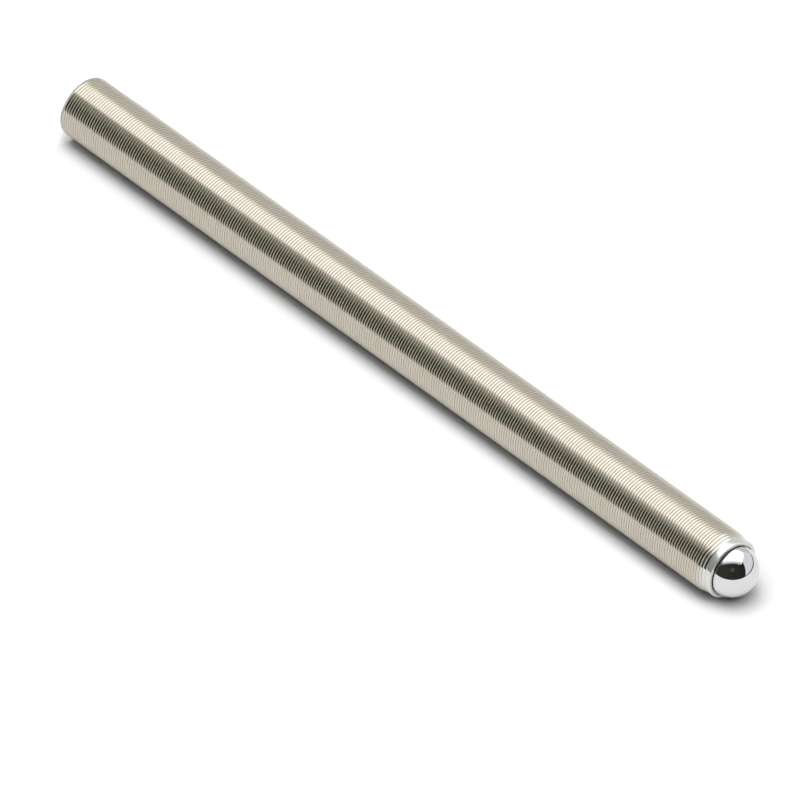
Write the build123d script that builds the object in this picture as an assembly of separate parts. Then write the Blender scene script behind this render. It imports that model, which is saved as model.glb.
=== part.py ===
from build123d import *
from math import radians, sin, tan
import os

os.makedirs("parts", exist_ok=True)

# Ball-end adjusting screw, in millimetres.
# It stands on its flat rear face, with its axis along Z and its ball on top.
# The origin is the centre of the rear face.

# Threaded shank, drawn as a plain cylinder over the crests of the thread
THREAD_MAJOR_DIAMETER = 5.0
BODY_LENGTH = 70.0          # rear face to nose rim
REAR_CHAMFER = 0.2

# Ball, pressed half its depth into the nose
BALL_DIAMETER = 4.0
BALL_STANDOUT = 2.0         # rim to the ball's foremost point
BALL_CLEARANCE = 0.005      # ball to wall and seat of its pocket

# Nose round the ball: a taper from the shank, then a straight collar
TAPER_LENGTH = 0.7
COLLAR_LENGTH = 0.65
RIM_WIDTH = 0.245           # gap's outer wall to the collar's outside, before rounding
RIM_EDGE_RADIUS = 0.07
MOUTH_GAP_WIDTH = 0.09      # step by which the pocket is wider at its mouth
MOUTH_GAP_DEPTH = 0.2       # shallow, so the wall below it still guides the ball
SEAT_CONE_ANGLE = 118.0     # left by the drill point

# Hexagon socket in the rear end
HEX_ACROSS_FLATS = 2.0
HEX_DEPTH = 2.8
HEX_CHAMFER_DIAMETER = 2.7
HEX_CHAMFER_ANGLE = 90.0
DRILL_DIAMETER = 2.05       # hole drilled before the hexagon is broached
DRILL_DEPTH = 3.6
DRILL_POINT_ANGLE = 118.0

# Heights and radii that follow from the sizes above
ball_radius = BALL_DIAMETER / 2
body_radius = THREAD_MAJOR_DIAMETER / 2
rim_z = BODY_LENGTH
ball_z = rim_z + BALL_STANDOUT - ball_radius


def cone_height(radius, full_angle):
    """Height of a cone of this base radius and full point angle."""
    return radius / tan(radians(full_angle / 2))


def turned(*outline):
    """Solid turned about Z from the points of its half section, as radius and height."""
    return revolve(make_face(Plane.XZ * Polyline(*outline, close=True)), Axis.Z)


def blank():
    """Shank with chamfered rear end, taper and collar, before its holes are made."""
    collar_radius = ball_radius + BALL_CLEARANCE + MOUTH_GAP_WIDTH + RIM_WIDTH
    collar_z = rim_z - COLLAR_LENGTH
    solid = turned(
        (0, 0),
        (body_radius - REAR_CHAMFER, 0),
        (body_radius, REAR_CHAMFER),
        (body_radius, collar_z - TAPER_LENGTH),
        (collar_radius, collar_z),
        (collar_radius, rim_z),
        (0, rim_z),
    )
    outer_corner = solid.edges().filter_by(GeomType.CIRCLE).sort_by(Axis.Z)[-1]
    return fillet(outer_corner, RIM_EDGE_RADIUS)


def ball_pocket():
    """Blind hole that the ball is pressed into, stepped wider at its mouth."""
    pocket_radius = ball_radius + BALL_CLEARANCE
    mouth_radius = pocket_radius + MOUTH_GAP_WIDTH
    mouth_floor_z = rim_z - MOUTH_GAP_DEPTH
    # The seat cone stands clear of the ball by the named clearance
    seat_tip_z = ball_z - pocket_radius / sin(radians(SEAT_CONE_ANGLE / 2))
    seat_edge_z = seat_tip_z + cone_height(pocket_radius, SEAT_CONE_ANGLE)
    return turned(
        (0, seat_tip_z),
        (pocket_radius, seat_edge_z),
        (pocket_radius, mouth_floor_z),
        (mouth_radius, mouth_floor_z),
        (mouth_radius, rim_z),
        (0, rim_z),
    )


def hex_socket():
    """Drilled, broached and countersunk hole that the driver enters."""
    drill_radius = DRILL_DIAMETER / 2
    sink_radius = HEX_CHAMFER_DIAMETER / 2
    drilled = turned(
        (0, 0),
        (drill_radius, 0),
        (drill_radius, DRILL_DEPTH),
        (0, DRILL_DEPTH + cone_height(drill_radius, DRILL_POINT_ANGLE)),
    )
    broached = extrude(RegularPolygon(HEX_ACROSS_FLATS / 2, 6, major_radius=False), HEX_DEPTH)
    countersunk = turned(
        (0, 0),
        (sink_radius, 0),
        (0, cone_height(sink_radius, HEX_CHAMFER_ANGLE)),
    )
    return drilled + broached + countersunk


def screw_body():
    """Threaded shank, smooth collar, ball pocket and hexagon socket in one piece."""
    return blank() - ball_pocket() - hex_socket()


def tip_ball():
    """Hard ball that bears on the part being adjusted."""
    return Pos(0, 0, ball_z) * Sphere(ball_radius)


nodes = {
    "screw_body": screw_body(),
    "tip_ball": tip_ball(),
}

for name, solid in nodes.items():
    export_step(solid, f"parts/{name}.step")
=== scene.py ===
from math import ceil, cos, pi, radians, sin, tan

import bpy
from mathutils import Matrix, Vector


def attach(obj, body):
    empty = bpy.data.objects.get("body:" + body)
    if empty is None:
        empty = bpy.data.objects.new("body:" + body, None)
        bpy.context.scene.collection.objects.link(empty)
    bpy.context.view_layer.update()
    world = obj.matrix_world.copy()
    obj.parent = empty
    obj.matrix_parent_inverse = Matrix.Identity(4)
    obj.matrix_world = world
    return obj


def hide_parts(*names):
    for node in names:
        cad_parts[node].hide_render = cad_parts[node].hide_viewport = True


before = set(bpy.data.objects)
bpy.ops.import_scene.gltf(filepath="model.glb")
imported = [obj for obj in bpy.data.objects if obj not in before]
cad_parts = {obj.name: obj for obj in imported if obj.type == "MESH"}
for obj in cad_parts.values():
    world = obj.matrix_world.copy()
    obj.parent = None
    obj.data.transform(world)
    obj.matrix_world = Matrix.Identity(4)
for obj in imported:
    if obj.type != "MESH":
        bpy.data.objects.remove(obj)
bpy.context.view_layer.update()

MM = 0.001

# Sizes of the real screw, in millimetres, with Z along it from its rear face
THREAD_PITCH = 0.25
CREST_RADIUS = 2.49          # a hair inside the solid, which is drawn over the crests
CREST_SHARE = 0.62           # of the pitch, on the burnished crest
CREST_ROUNDING = 0.014       # from the crest's middle down to its edges
ROOT_SHARE = 0.06            # of the pitch, on the flat root
THREAD_FULL_ANGLE = 60.0
BODY_LENGTH = 70.0
REAR_CHAMFER = 0.2
TAPER_LENGTH = 0.7           # from the shank down to the collar
COLLAR_LENGTH = 0.65
COLLAR_RADIUS = 2.34
RIM_EDGE_RADIUS = 0.07
RUNOUT_LENGTH = 0.4          # over which the thread's depth fades out
RUNOUT_ON_COLLAR = 0.25      # part of it that lies past the collar's start
MOUTH_GAP = 0.09             # round the ball, between the pocket's wall and its wider mouth
MOUTH_DEPTH = 0.2
BALL_RADIUS = 2.0
BALL_CENTRE = 70.0
POCKET_RADIUS = 2.005
SEAT_CONE_ANGLE = 118.0
HEX_APOTHEM = 1.0
HEX_DEPTH = 2.8
HEX_CHAMFER_RADIUS = 1.35
DRILL_RADIUS = 1.025
DRILL_DEPTH = 3.6
DRILL_POINT_ANGLE = 118.0

COLLAR_START = BODY_LENGTH - COLLAR_LENGTH
TAPER_START = COLLAR_START - TAPER_LENGTH
THREAD_END = COLLAR_START + RUNOUT_ON_COLLAR

# Fineness of the meshes
COLUMNS = 66                 # of vertices round the screw
ARC_STEPS = 5                # in the rounded corner of the nose
BALL_SUBDIVISIONS = 6
SHARP_ANGLE = 25.0           # an edge of the body that bends by more isn't shaded smooth
ANGLE_GRID = 1e6             # steps per radian and per millimetre, on which equal points become one
LENGTH_GRID = 1e4

# The photo's table, seen from the screw that lies on it, in the frame in which the screw stands
ROD_YAW = radians(43.0)      # of the screw, from the direction that points at the camera
CAMERA_ELEVATION = radians(41.9)
TABLE_Y = 2.5 * MM           # the screw's side touches this plane
LEFT_TO_RIGHT = Vector((-cos(ROD_YAW), 0, sin(ROD_YAW)))
TO_FRONT = Vector((sin(ROD_YAW), 0, cos(ROD_YAW)))
OFF_TABLE = Vector((0, -1, 0))
BALL_PLACE = Vector((0, TABLE_Y, BALL_CENTRE * MM))
SCREW_MIDDLE = Vector((0, 0, (BALL_CENTRE + BALL_RADIUS) / 2 * MM))

# Floor and backdrop, in millimetres
SHEET_HALF = 1200.0          # half of their width
FLOOR_DROP = 0.02            # below the rear face, so that the two don't coincide
CORNER_WIDTH = 3.0           # over which the floor gives way to the backdrop
FADE_FROM = 60.0             # from the screw's middle, where both turn to plain white
FADE_TO = 100.0

# Lamps, in metres
LAMP_DISTANCE = 1.0          # from the backdrop, and from the floor
LAMP_SHIFT = 0.32            # from the ball's centre to the middle of the lamps before the backdrop
TOP_HALF = 0.35              # half of the upper lamp's width

# Colours and finishes of the screw
EDGE_TINT = (0.85, 0.84, 0.80, 1)
CREST_COLOURS = ((0.60, 0.553, 0.475, 1), (0.64, 0.592, 0.51, 1))
GROOVE_COLOUR = (0.62, 0.58, 0.48, 1)
COLLAR_COLOUR = (0.76, 0.755, 0.725, 1)
BALL_COLOURS = ((0.73, 0.73, 0.74, 1), (0.76, 0.76, 0.77, 1))
GROOVE_METALLIC = 0.55
COLLAR_METALLIC = 0.72
CREST_ROUGHNESS = (0.07, 0.12)
GROOVE_ROUGHNESS = (0.55, 0.65)
COLLAR_ROUGHNESS = (0.14, 0.17)
BALL_ROUGHNESS = (0.03, 0.05)
RIM_ROUGHNESS = 0.15

# Where a look starts and where it is full, in millimetres
GROOVE_DEPTHS = (0.018, 0.038)   # below the crests
COLLAR_BLEND = (0.25, 0.1)       # before the thread's end
RIM_BLEND = (0.012, 0.004)       # before the rim

# Noise: its fineness per metre, how it is squeezed, and the values between which most of it lies
CLOUD_SCALE = 900.0
FINE_SCALE = 5200.0
BALL_CLOUD_SCALE = 1500.0
EVEN = (1, 1, 1)
SQUEEZED_ALONG = (1, 1, 2.5)
NOISE_LOW = 0.3
NOISE_HIGH = 0.7


def photo_point(right, front, height):
    """Point that lies this far to the right of the ball, in front of it and above the table."""
    return BALL_PLACE + LEFT_TO_RIGHT * right + TO_FRONT * front + OFF_TABLE * height


def link_piece(name, vertices, faces, material, smooth=True):
    """New mesh object with one material."""
    mesh = bpy.data.meshes.new(name)
    mesh.from_pydata(vertices, [], faces)
    mesh.validate()
    mesh.update()
    if smooth:
        mesh.shade_smooth()
    piece = bpy.data.objects.new(name, mesh)
    bpy.context.scene.collection.objects.link(piece)
    mesh.materials.append(material)
    return piece


# Shape of the threaded body

def envelope(z):
    """Largest radius at this height: rear chamfer, shank, taper and collar."""
    if z < REAR_CHAMFER:
        return CREST_RADIUS - REAR_CHAMFER + z
    tapered = (z - TAPER_START) / TAPER_LENGTH
    return CREST_RADIUS - (CREST_RADIUS - COLLAR_RADIUS) * min(1.0, max(0.0, tapered))


def thread_profile():
    """Corners of one turn's section, as shares of the pitch and depths below the crest."""
    flank = (1 - CREST_SHARE - ROOT_SHARE) / 2
    depth = flank * THREAD_PITCH / tan(radians(THREAD_FULL_ANGLE / 2))
    return [
        (0.0, CREST_ROUNDING),
        (CREST_SHARE / 2, 0.0),
        (CREST_SHARE, CREST_ROUNDING),
        (CREST_SHARE + flank, depth),
        (CREST_SHARE + flank + ROOT_SHARE, depth),
    ]


def depth_at(share):
    """Depth below the crest at this share of one turn."""
    corners = thread_profile()
    corners.append((1.0, corners[0][1]))
    for (start, first), (end, second) in zip(corners, corners[1:]):
        if share <= end:
            return first + (second - first) * (share - start) / (end - start)


def fade(z):
    """Share of the thread's depth that is left at this height, near the nose."""
    share = (THREAD_END - z) / RUNOUT_LENGTH
    return min(1.0, max(0.0, share))


def threaded_column(turn_share):
    """Points of the outer skin, as height and radius, up one line along the screw.

    The line lies this share of a turn round the screw. Points that would lie behind the rear face or
    past the thread's end are moved to that height, where they become one.
    """
    profile = thread_profile()
    rear_depth = depth_at(-turn_share % 1)
    points = []
    for turn in range(-1, ceil(THREAD_END / THREAD_PITCH) + 1):
        for share, depth in profile:
            z = min((turn + share + turn_share) * THREAD_PITCH, THREAD_END)
            if z <= 0:
                z, depth = 0.0, rear_depth
            points.append((z, envelope(z) - depth * fade(z)))
    return points


def nose_column():
    """Points of the nose, its rim and the ball's pocket, the same all round."""
    points = []
    centre_z = BODY_LENGTH - RIM_EDGE_RADIUS
    centre_r = COLLAR_RADIUS - RIM_EDGE_RADIUS
    for i in range(ARC_STEPS + 1):
        angle = pi / 2 * i / ARC_STEPS
        points.append((centre_z + RIM_EDGE_RADIUS * sin(angle), centre_r + RIM_EDGE_RADIUS * cos(angle)))
    seat_tip = BALL_CENTRE - POCKET_RADIUS / sin(radians(SEAT_CONE_ANGLE / 2))
    seat_edge = seat_tip + POCKET_RADIUS / tan(radians(SEAT_CONE_ANGLE / 2))
    points.append((BODY_LENGTH, POCKET_RADIUS + MOUTH_GAP))
    points.append((BODY_LENGTH - MOUTH_DEPTH, POCKET_RADIUS + MOUTH_GAP))
    points.append((BODY_LENGTH - MOUTH_DEPTH, POCKET_RADIUS))
    points.append((seat_edge, POCKET_RADIUS))
    points.append((seat_tip, 0.0))
    return points


def socket_column(angle):
    """Points of the hexagon socket and the drilled hole under it, from the rear face inwards."""
    from_flat = (angle + pi / 6) % (pi / 3) - pi / 6
    hexagon = HEX_APOTHEM / cos(pi / 6 - abs(from_flat))
    wall = max(hexagon, DRILL_RADIUS)
    tip = DRILL_DEPTH + DRILL_RADIUS / tan(radians(DRILL_POINT_ANGLE / 2))
    return [
        (0.0, HEX_CHAMFER_RADIUS),
        (HEX_CHAMFER_RADIUS - wall, wall),
        (HEX_DEPTH, wall),
        (HEX_DEPTH, DRILL_RADIUS),
        (DRILL_DEPTH, DRILL_RADIUS),
        (tip, 0.0),
    ]


def build_screw_body(material):
    """Whole screw body as one closed skin, from the drill point out over the thread into the pocket."""
    vertices = []
    faces = []
    places = {}

    def vertex(angle, z, radius):
        """Number of the vertex at this place, which is made if there is none yet."""
        turn = 0 if radius == 0 else round(angle * ANGLE_GRID)
        key = (turn, round(z * LENGTH_GRID), round(radius * LENGTH_GRID))
        if key not in places:
            places[key] = len(vertices)
            vertices.append((radius * cos(angle) * MM, radius * sin(angle) * MM, z * MM))
        return places[key]

    def column(index):
        """Numbers of the vertices along one line, from the drill point to the seat's tip."""
        angle = 2 * pi / COLUMNS * (index % COLUMNS)
        socket = socket_column(angle)[::-1]
        thread = threaded_column(index / COLUMNS)
        return [vertex(angle, z, radius) for z, radius in socket + thread + nose_column()]

    columns = [column(i) for i in range(COLUMNS + 1)]
    for left, right in zip(columns, columns[1:]):
        for square in zip(left, right, right[1:], left[1:]):
            corners = []
            for corner in square:
                if corner not in corners:
                    corners.append(corner)
            if len(corners) > 2:
                faces.append(corners)
    body = link_piece("screw_body_threaded", vertices, faces, material)
    body.data.set_sharp_from_angle(angle=radians(SHARP_ANGLE))
    return body


def build_ball(material):
    """Ball as a finely divided icosphere."""
    bpy.ops.mesh.primitive_ico_sphere_add(
        subdivisions=BALL_SUBDIVISIONS, radius=BALL_RADIUS * MM, location=(0, 0, 0)
    )
    ball = bpy.context.object
    ball.name = "tip_ball_polished"
    ball.data.transform(Matrix.Translation((0, 0, BALL_CENTRE * MM)))
    ball.data.shade_smooth()
    ball.data.materials.append(material)
    return ball


# Materials

def new_material(name):
    """Material with its tree, its Principled shader and an object-coordinate node."""
    material = bpy.data.materials.new(name)
    material.use_nodes = True
    tree = material.node_tree
    shader = tree.nodes["Principled BSDF"]
    coordinates = tree.nodes.new("ShaderNodeTexCoord")
    return material, tree, shader, coordinates


def grey(level):
    """Plain grey of this brightness."""
    return (level, level, level, 1)


def feed(tree, socket, value):
    """Give a socket a plain number or colour, or link it to another socket."""
    if isinstance(value, (int, float, tuple)):
        socket.default_value = value
    else:
        tree.links.new(value, socket)


def noise(tree, coordinates, scale, stretch):
    """Noise in the object's own space, squeezed along each axis by these factors."""
    mapping = tree.nodes.new("ShaderNodeMapping")
    mapping.inputs["Scale"].default_value = stretch
    texture = tree.nodes.new("ShaderNodeTexNoise")
    texture.inputs["Scale"].default_value = scale
    texture.inputs["Detail"].default_value = 3.0
    tree.links.new(coordinates.outputs["Object"], mapping.inputs["Vector"])
    tree.links.new(mapping.outputs["Vector"], texture.inputs["Vector"])
    return texture.outputs["Fac"]


def remap(tree, value, low, high, from_low=NOISE_LOW, from_high=NOISE_HIGH):
    """Value spread between two ends."""
    node = tree.nodes.new("ShaderNodeMapRange")
    node.inputs["From Min"].default_value = from_low
    node.inputs["From Max"].default_value = from_high
    node.inputs["To Min"].default_value = low
    node.inputs["To Max"].default_value = high
    tree.links.new(value, node.inputs["Value"])
    return node.outputs["Result"]


def mix(tree, kind, factor, first, second):
    """Value between two values, which are numbers if the kind is FLOAT and colours if it is RGBA."""
    node = tree.nodes.new("ShaderNodeMix")
    node.data_type = kind
    tree.links.new(factor, node.inputs["Factor"])
    feed(tree, node.inputs["A"], first)
    feed(tree, node.inputs["B"], second)
    return node.outputs["Result"]


def mix_colours(tree, factor, first, second):
    """Colour between two colours."""
    return mix(tree, "RGBA", factor, first, second)


def mix_numbers(tree, factor, first, second):
    """Number between two numbers."""
    return mix(tree, "FLOAT", factor, first, second)


def calculate(tree, operation, first, second):
    """One sum on two numbers, each a socket or a plain number."""
    node = tree.nodes.new("ShaderNodeMath")
    node.operation = operation
    feed(tree, node.inputs[0], first)
    feed(tree, node.inputs[1], second)
    return node.outputs["Value"]


def distance_from_axis(tree, coordinates):
    """How far a point is from the screw's axis, in metres."""
    flat = tree.nodes.new("ShaderNodeVectorMath")
    flat.operation = "MULTIPLY"
    flat.inputs[1].default_value = (1, 1, 0)
    length = tree.nodes.new("ShaderNodeVectorMath")
    length.operation = "LENGTH"
    tree.links.new(coordinates.outputs["Object"], flat.inputs[0])
    tree.links.new(flat.outputs["Vector"], length.inputs[0])
    return length.outputs["Value"]


def one_axis(tree, place, axis):
    """One of a place's three coordinates, in metres."""
    split = tree.nodes.new("ShaderNodeSeparateXYZ")
    tree.links.new(place, split.inputs["Vector"])
    return split.outputs[axis]


def groove_share(tree, along, radius):
    """0 on the crests and 1 in the grooves, from how far a point lies below the crests."""
    chamfered = CREST_RADIUS - REAR_CHAMFER
    rear = remap(tree, along, chamfered * MM, CREST_RADIUS * MM, 0, REAR_CHAMFER * MM)
    front = remap(tree, along, CREST_RADIUS * MM, COLLAR_RADIUS * MM, TAPER_START * MM, COLLAR_START * MM)
    crest = calculate(tree, "MINIMUM", rear, front)
    depth = calculate(tree, "SUBTRACT", crest, radius)
    start, full = GROOVE_DEPTHS
    return remap(tree, depth, 0, 1, start * MM, full * MM)


def share_before(tree, along, end, blend):
    """0 further than the blend's first distance before this height, and 1 nearer than its second."""
    start, full = blend
    return remap(tree, along, 0, 1, (end - start) * MM, (end - full) * MM)


def screw_steel():
    """Bright stainless steel: burnished crests, dull grooves with a warm cast, satin collar."""
    material, tree, shader, coordinates = new_material("screw_steel")
    shader.inputs["Specular Tint"].default_value = EDGE_TINT
    cloud = noise(tree, coordinates, CLOUD_SCALE, EVEN)
    fine = noise(tree, coordinates, FINE_SCALE, SQUEEZED_ALONG)
    along = one_axis(tree, coordinates.outputs["Object"], "Z")
    groove = groove_share(tree, along, distance_from_axis(tree, coordinates))
    collar = share_before(tree, along, THREAD_END, COLLAR_BLEND)
    rim = share_before(tree, along, BODY_LENGTH, RIM_BLEND)
    pale = remap(tree, along, 0, 1, TAPER_START * MM, COLLAR_START * MM)

    crest = mix_colours(tree, remap(tree, cloud, 0, 1), *CREST_COLOURS)
    warm = mix_colours(tree, groove, crest, GROOVE_COLOUR)
    tree.links.new(mix_colours(tree, pale, warm, COLLAR_COLOUR), shader.inputs["Base Color"])

    thread_metallic = mix_numbers(tree, groove, 1.0, GROOVE_METALLIC)
    metallic = mix_numbers(tree, collar, thread_metallic, COLLAR_METALLIC)
    tree.links.new(metallic, shader.inputs["Metallic"])

    crest_roughness = remap(tree, fine, *CREST_ROUGHNESS)
    groove_roughness = remap(tree, fine, *GROOVE_ROUGHNESS)
    collar_roughness = remap(tree, fine, *COLLAR_ROUGHNESS)
    thread_roughness = mix_numbers(tree, groove, crest_roughness, groove_roughness)
    outside = mix_numbers(tree, collar, thread_roughness, collar_roughness)
    tree.links.new(mix_numbers(tree, rim, outside, RIM_ROUGHNESS), shader.inputs["Roughness"])
    return material


def ball_steel():
    """Mirror-polished hard steel with the faintest haze."""
    material, tree, shader, coordinates = new_material("ball_steel")
    shader.inputs["Metallic"].default_value = 1.0
    cloud = noise(tree, coordinates, BALL_CLOUD_SCALE, EVEN)
    tint = mix_colours(tree, remap(tree, cloud, 0, 1), *BALL_COLOURS)
    tree.links.new(tint, shader.inputs["Base Color"])
    tree.links.new(remap(tree, cloud, *BALL_ROUGHNESS), shader.inputs["Roughness"])
    return material


def paper(name, colour, camera_colour, glow):
    """Plain pale surface of the floor and the backdrop, brighter to the camera than to the screw.

    The screw's reflections get a share of it as plain glow, so that no side of the metal turns black.
    """
    material = bpy.data.materials.new(name)
    material.use_nodes = True
    tree = material.node_tree
    tree.nodes.remove(tree.nodes["Principled BSDF"])
    surface = tree.nodes.new("ShaderNodeBsdfDiffuse")
    reflected = tree.nodes.new("ShaderNodeEmission")
    both = tree.nodes.new("ShaderNodeAddShader")
    path = tree.nodes.new("ShaderNodeLightPath")
    is_glossy = path.outputs["Is Glossy Ray"]
    is_camera = path.outputs["Is Camera Ray"]
    lit = mix_colours(tree, is_glossy, grey(colour), grey(colour - glow))
    shade = mix_colours(tree, is_camera, lit, grey(camera_colour))
    tree.links.new(shade, surface.inputs["Color"])
    tree.links.new(calculate(tree, "MULTIPLY", is_glossy, glow), reflected.inputs["Strength"])
    tree.links.new(surface.outputs["BSDF"], both.inputs[0])
    tree.links.new(reflected.outputs["Emission"], both.inputs[1])
    tree.links.new(both.outputs["Shader"], tree.nodes["Material Output"].inputs["Surface"])
    return material


def card_material():
    """Glow of the cards that are seen only in reflections, in the colours stored at their corners."""
    material = bpy.data.materials.new("card_glow")
    material.use_nodes = True
    tree = material.node_tree
    tree.nodes.clear()
    stored = tree.nodes.new("ShaderNodeAttribute")
    stored.attribute_name = "glow"
    glow = tree.nodes.new("ShaderNodeEmission")
    output = tree.nodes.new("ShaderNodeOutputMaterial")
    tree.links.new(stored.outputs["Color"], glow.inputs["Color"])
    tree.links.new(glow.outputs["Emission"], output.inputs["Surface"])
    return material


# Stage

def one_sided(material, corner_width=0.0):
    """Makes a sheet clear from behind, and to the camera also where it is far from the screw.

    With a corner width, in millimetres, a floor also clears to the camera over that width before the
    backdrop, so that the two meet in a soft corner.
    """
    tree = material.node_tree
    output = tree.nodes["Material Output"]
    surface = output.inputs["Surface"].links[0].from_socket
    geometry = tree.nodes.new("ShaderNodeNewGeometry")
    path = tree.nodes.new("ShaderNodeLightPath")
    away = tree.nodes.new("ShaderNodeVectorMath")
    away.operation = "DISTANCE"
    away.inputs[1].default_value = SCREW_MIDDLE
    tree.links.new(geometry.outputs["Position"], away.inputs[0])
    faded = remap(tree, away.outputs["Value"], 0, 1, FADE_FROM * MM, FADE_TO * MM)
    if corner_width:
        y = one_axis(tree, geometry.outputs["Position"], "Y")
        corner = remap(tree, y, 0, 1, TABLE_Y - corner_width * MM, TABLE_Y)
        faded = calculate(tree, "MAXIMUM", faded, corner)
    faded = calculate(tree, "MULTIPLY", faded, path.outputs["Is Camera Ray"])
    clear = tree.nodes.new("ShaderNodeBsdfTransparent")
    choice = tree.nodes.new("ShaderNodeMixShader")
    is_clear = calculate(tree, "MAXIMUM", faded, geometry.outputs["Backfacing"])
    tree.links.new(is_clear, choice.inputs["Fac"])
    tree.links.new(surface, choice.inputs[1])
    tree.links.new(clear.outputs["BSDF"], choice.inputs[2])
    tree.links.new(choice.outputs["Shader"], output.inputs["Surface"])
    return material


def add_floor():
    """Pale floor that the screw stands on."""
    half = SHEET_HALF * MM
    z = -FLOOR_DROP * MM
    corners = [(-half, -half, z), (half, -half, z), (half, half, z), (-half, half, z)]
    material = one_sided(paper("floor_paper", colour=0.9, camera_colour=1.2, glow=0.0), CORNER_WIDTH)
    floor = link_piece("floor", corners, [(0, 1, 2, 3)], material, smooth=False)
    floor.visible_glossy = False
    floor.visible_diffuse = False
    floor.visible_shadow = False
    return floor


def add_backdrop():
    """Pale upright sheet that the screw's side touches, as the table does in the photo."""
    half = SHEET_HALF * MM
    y = TABLE_Y
    corners = [(-half, y, -half), (half, y, -half), (half, y, half), (-half, y, half)]
    material = one_sided(paper("backdrop_paper", colour=0.94, camera_colour=1.0, glow=0.22))
    sheet = link_piece("backdrop", corners, [(0, 1, 2, 3)], material, smooth=False)
    sheet.visible_shadow = False


def add_card(name, material, corners):
    """Card seen only in reflections, from its corners' photo points in millimetres and their colours."""
    places = [photo_point(*[value * MM for value in place]) for place, colour in corners]
    card = link_piece(name, places, [tuple(range(len(places)))], material, smooth=False)
    glow = card.data.color_attributes.new(name="glow", type="FLOAT_COLOR", domain="POINT")
    for i, (place, colour) in enumerate(corners):
        glow.data[i].color = (*colour, 1)
    card.visible_camera = False
    card.visible_diffuse = False
    card.visible_shadow = False
    card.visible_transmission = False


def add_softbox(name, radiance, corner, along, across):
    """Rectangular lamp spanned from one corner by two edges, facing the screw."""
    width = along.length
    depth = across.length
    lamp = bpy.data.lights.new(name, "AREA")
    lamp.shape = "RECTANGLE"
    lamp.size = width
    lamp.size_y = depth
    lamp.energy = radiance * pi * width * depth
    lamp_object = bpy.data.objects.new(name, lamp)
    x = along.normalized()
    y = across.normalized()
    z = x.cross(y)
    turn = Matrix((x, y, z)).transposed().to_4x4()
    lamp_object.matrix_world = Matrix.Translation(corner + along / 2 + across / 2) @ turn
    bpy.context.scene.collection.objects.link(lamp_object)
    lamp_object.visible_camera = False
    lamp_object.visible_glossy = False
    return lamp_object


def add_front_softbox(name, radiance, left, width, half_height):
    """Upright lamp before the backdrop, with its middle past the ball's end of the screw."""
    corner = Vector((left, TABLE_Y - LAMP_DISTANCE, BALL_CENTRE * MM + LAMP_SHIFT - half_height))
    add_softbox(name, radiance, corner, Vector((width, 0, 0)), Vector((0, 0, 2 * half_height)))


def add_top_softbox(radiance, floor):
    """Lamp above the screw that lights the floor alone."""
    corner = Vector((-TOP_HALF, -TOP_HALF, LAMP_DISTANCE))
    width = 2 * TOP_HALF
    lamp = add_softbox("top_softbox", radiance, corner, Vector((width, 0, 0)), Vector((0, width, 0)))
    floor_alone = bpy.data.collections.new("lit_from_above")
    floor_alone.objects.link(floor)
    lamp.light_linking.receiver_collection = floor_alone


def set_world(ambient, reflected):
    """White to the camera, and a plain even level on everything else."""
    world = bpy.data.worlds.new("studio")
    bpy.context.scene.world = world
    world.use_nodes = True
    tree = world.node_tree
    background = tree.nodes["Background"]
    path = tree.nodes.new("ShaderNodeLightPath")
    level = remap(tree, path.outputs["Is Glossy Ray"], ambient, reflected, 0, 1)
    strength = calculate(tree, "MAXIMUM", level, path.outputs["Is Camera Ray"])
    tree.links.new(strength, background.inputs["Strength"])
    background.inputs["Color"].default_value = grey(1)


def add_camera():
    """Camera at the photo's viewing angle: it looks down on the screw from the ball's end."""
    distance = 1.12              # in metres, from the point it looks at
    aim_right = -0.887 * MM      # from the screw's middle to that point
    aim_up = -4.3575 * MM
    roll = 0.00204
    back = TO_FRONT * cos(CAMERA_ELEVATION) + OFF_TABLE * sin(CAMERA_ELEVATION)
    level_up = OFF_TABLE * cos(CAMERA_ELEVATION) - TO_FRONT * sin(CAMERA_ELEVATION)
    right = LEFT_TO_RIGHT * cos(roll) + level_up * sin(roll)
    up = level_up * cos(roll) - LEFT_TO_RIGHT * sin(roll)
    place = SCREW_MIDDLE + right * aim_right + up * aim_up + back * distance
    data = bpy.data.cameras.new("camera")
    data.sensor_width = 36.0
    data.lens = 684.83
    data.clip_start = 0.05
    data.clip_end = 10.0
    camera = bpy.data.objects.new("camera", data)
    camera.matrix_world = Matrix.Translation(place) @ Matrix((right, up, back)).transposed().to_4x4()
    bpy.context.scene.collection.objects.link(camera)
    bpy.context.scene.camera = camera


# Glow of the cards: painted light and shade of a room, which the metal shows only in its reflections
CEILING = (1.68, 1.68, 1.68)
WALL = (0.85, 0.84, 0.85)
LEFT_EDGE = (0.75, 0.75, 0.71)
BACK = (0.66, 0.66, 0.66)
LEFT_TOP = (0.30, 0.30, 0.27)
LEFT_LOW = (0.035, 0.04, 0.028)
FRONT = (0.02, 0.02, 0.02)
GAP = (0.08, 0.08, 0.08)
NOTCH = (0.5, 0.5, 0.5)
SPOT = (0.085, 0.085, 0.085)

# The room that the cards stand for, in millimetres of the photo points
CEILING_HEIGHT = 200
FADE_START = 14              # of the ceiling's front edge, in front of the ball
FADE_END = 86
BACK_START = -190            # of the ceiling's back edge
BACK_END = -245
RIGHT_END = 168              # of the ceiling's front edge
LEFT_END = -60
FAR_END = -1500              # of the room, along the screw
LEFT_EDGE_ACROSS = 101       # of the left wall's upper edge
LEFT_SPREAD = 250            # by which the left wall slopes outwards
MIDDLE_SHARE = 0.29          # of the way down the left wall
NOTCH_HEIGHT = 198           # just under the ceiling


def beside(across, along, height):
    """Photo point this far across the screw, along it past the ball, and off the table."""
    right = across * -cos(ROD_YAW) + along * sin(ROD_YAW)
    front = across * sin(ROD_YAW) + along * cos(ROD_YAW)
    return (right, front, height)


def overhead(across, along):
    """Point of the ceiling, this far across the screw and along it past the ball."""
    return beside(across, along, CEILING_HEIGHT)


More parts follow.
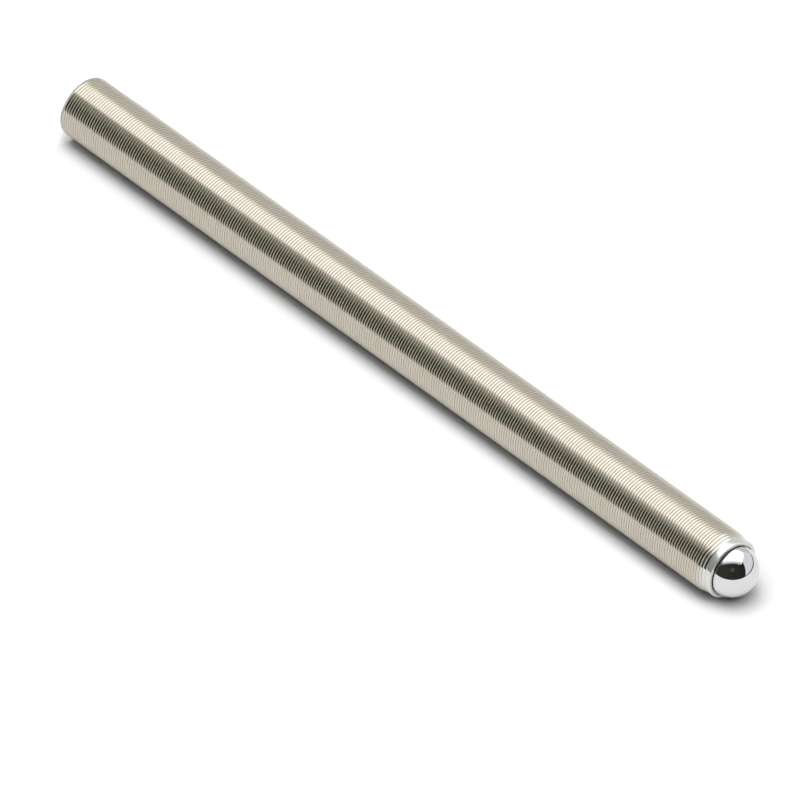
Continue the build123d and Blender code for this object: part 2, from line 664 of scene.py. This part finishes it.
def edge_at(across, front):
    """Point of a ceiling line along the screw that lies this far in front of the ball."""
    return overhead(across, (front - across * sin(ROD_YAW)) / cos(ROD_YAW))


def left_wall(share, along):
    """Point of the left wall, this share of the way down from the ceiling."""
    return beside(LEFT_EDGE_ACROSS + LEFT_SPREAD * share, along, CEILING_HEIGHT * (1 - share))


top_right = (RIGHT_END, FADE_START, CEILING_HEIGHT)
fade_right = (RIGHT_END, FADE_END, CEILING_HEIGHT)
top_left = (LEFT_END, FADE_START, CEILING_HEIGHT)
fade_left = (LEFT_END, FADE_END, CEILING_HEIGHT)
left_corner = (-165, 88, CEILING_HEIGHT)
left_bend = overhead(107, -97)
left_bend_back = overhead(76, -150)
left_back = overhead(84, FAR_END)
left_fade = overhead(46, FAR_END)
left_fade_bend = overhead(46, -150)
back_left = overhead(-125, FAR_END)
back_left_end = overhead(-170, FAR_END)
back_bend = edge_at(-125, BACK_START)
back_bend_end = edge_at(-170, BACK_END)
back_right = (186, BACK_START, CEILING_HEIGHT)
back_right_end = (193, BACK_END, CEILING_HEIGHT)
back_foot_left = beside(-400, -1600, 0)
back_foot_bend = (120, -330, 0)
back_foot_right = (260, -300, 0)
right_front = (205, 150, 13)
right_back = (260, -300, 30)
right_front_foot = (205, 150, 0)
middle_back = left_wall(MIDDLE_SHARE, -1550)
middle_bend_back = left_wall(MIDDLE_SHARE, -130)
middle_bend = left_wall(MIDDLE_SHARE, -80)
middle_front = left_wall(MIDDLE_SHARE, 69)
left_foot_back = left_wall(1, -1660)
left_foot_front = left_wall(1, 150)
notch = [(x, y, NOTCH_HEIGHT) for x, y in ((78, 60), (128, 60), (120, 100), (88, 100))]
spot = [(-8, 50, 36.6), (8, 50, 36.6), (8, 39.2, 48.6), (-8, 39.2, 48.6)]


def plain(colour, *places):
    """Corners that all glow alike."""
    return [(place, colour) for place in places]


def shaded(first_colour, first, second, second_colour, third, fourth):
    """Corners of a card that goes from one colour at two of them to another at the other two."""
    return plain(first_colour, first, second) + plain(second_colour, third, fourth)


near_ceiling = (top_left, top_right, back_right, back_bend)
far_ceiling = (back_left, left_fade, left_fade_bend, left_bend)
# Cards whose glow paints the room's light and shade into the screw's reflections
cards = {
    "ceiling_card": plain(CEILING, *near_ceiling, *far_ceiling),
    "ceiling_left_card": shaded(CEILING, left_fade, left_fade_bend, LEFT_TOP, left_bend_back, left_back),
    "ceiling_left_tip_card": plain(CEILING, left_fade_bend, left_bend) + plain(LEFT_TOP, left_bend_back),
    "ceiling_fade_card": plain(CEILING, top_left, top_right) + [(fade_right, FRONT), (fade_left, LEFT_LOW)],
    "ceiling_corner_card": shaded(CEILING, left_bend, top_left, LEFT_LOW, fade_left, left_corner),
    "ceiling_back_card": shaded(CEILING, back_right, back_bend, BACK, back_bend_end, back_right_end),
    "ceiling_far_card": shaded(CEILING, back_bend, back_left, BACK, back_left_end, back_bend_end),
    "right_card": plain(WALL, top_right, right_front, right_back, back_right_end, back_right),
    "right_shade_card": plain(FRONT, top_right, fade_right, right_front),
    "right_gap_card": plain(GAP, right_front, right_front_foot, back_foot_right, right_back),
    "back_card": plain(BACK, back_right_end, back_bend_end, back_foot_bend, back_foot_right),
    "far_back_card": plain(BACK, back_bend_end, back_left_end, back_foot_left, back_foot_bend),
    "end_card": plain(BACK, left_back, back_left, back_left_end, back_foot_left, left_foot_back),
    "front_card": [(fade_left, LEFT_LOW)] + plain(FRONT, fade_right, right_front, right_front_foot),
    "low_front_card": [(fade_left, LEFT_LOW), (right_front_foot, FRONT), (left_foot_front, LEFT_LOW)],
    "left_front_card": plain(LEFT_LOW, fade_left, left_foot_front, middle_front, left_corner),
    "left_far_card": shaded(LEFT_TOP, left_back, left_bend_back, LEFT_LOW, middle_bend_back, middle_back),
    "left_bend_card": [
        (left_bend_back, LEFT_TOP),
        (left_bend, LEFT_EDGE),
        (middle_bend, LEFT_LOW),
        (middle_bend_back, LEFT_LOW),
    ],
    "left_near_card": [(left_bend, LEFT_EDGE)] + plain(LEFT_LOW, left_corner, middle_front, middle_bend),
    "left_low_card": plain(LEFT_LOW, middle_back, middle_front, left_foot_front, left_foot_back),
    "notch_card": plain(NOTCH, *notch),
    "spot_card": plain(SPOT, *spot),
}

# The screw and all that stands round it

bpy.context.scene.view_settings.view_transform = "Standard"
bpy.context.scene.cycles.caustics_reflective = False   # no gleams from the metal in its own shadow

body = build_screw_body(screw_steel())
ball = build_ball(ball_steel())
for piece, node, slot in ((body, "screw_body", "screw_steel"), (ball, "tip_ball", "ball_steel")):
    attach(piece, "root")
    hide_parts(node)

floor = add_floor()
add_backdrop()
add_front_softbox("strip_softbox", radiance=5.0, left=-0.14, width=0.52, half_height=0.65)
add_front_softbox("wide_softbox", radiance=1.4, left=-0.35, width=1.30, half_height=0.8)
add_top_softbox(9.0, floor)
card_glow = card_material()
for name, corners in cards.items():
    add_card(name, card_glow, corners)
set_world(ambient=0.03, reflected=1.0)
add_camera()
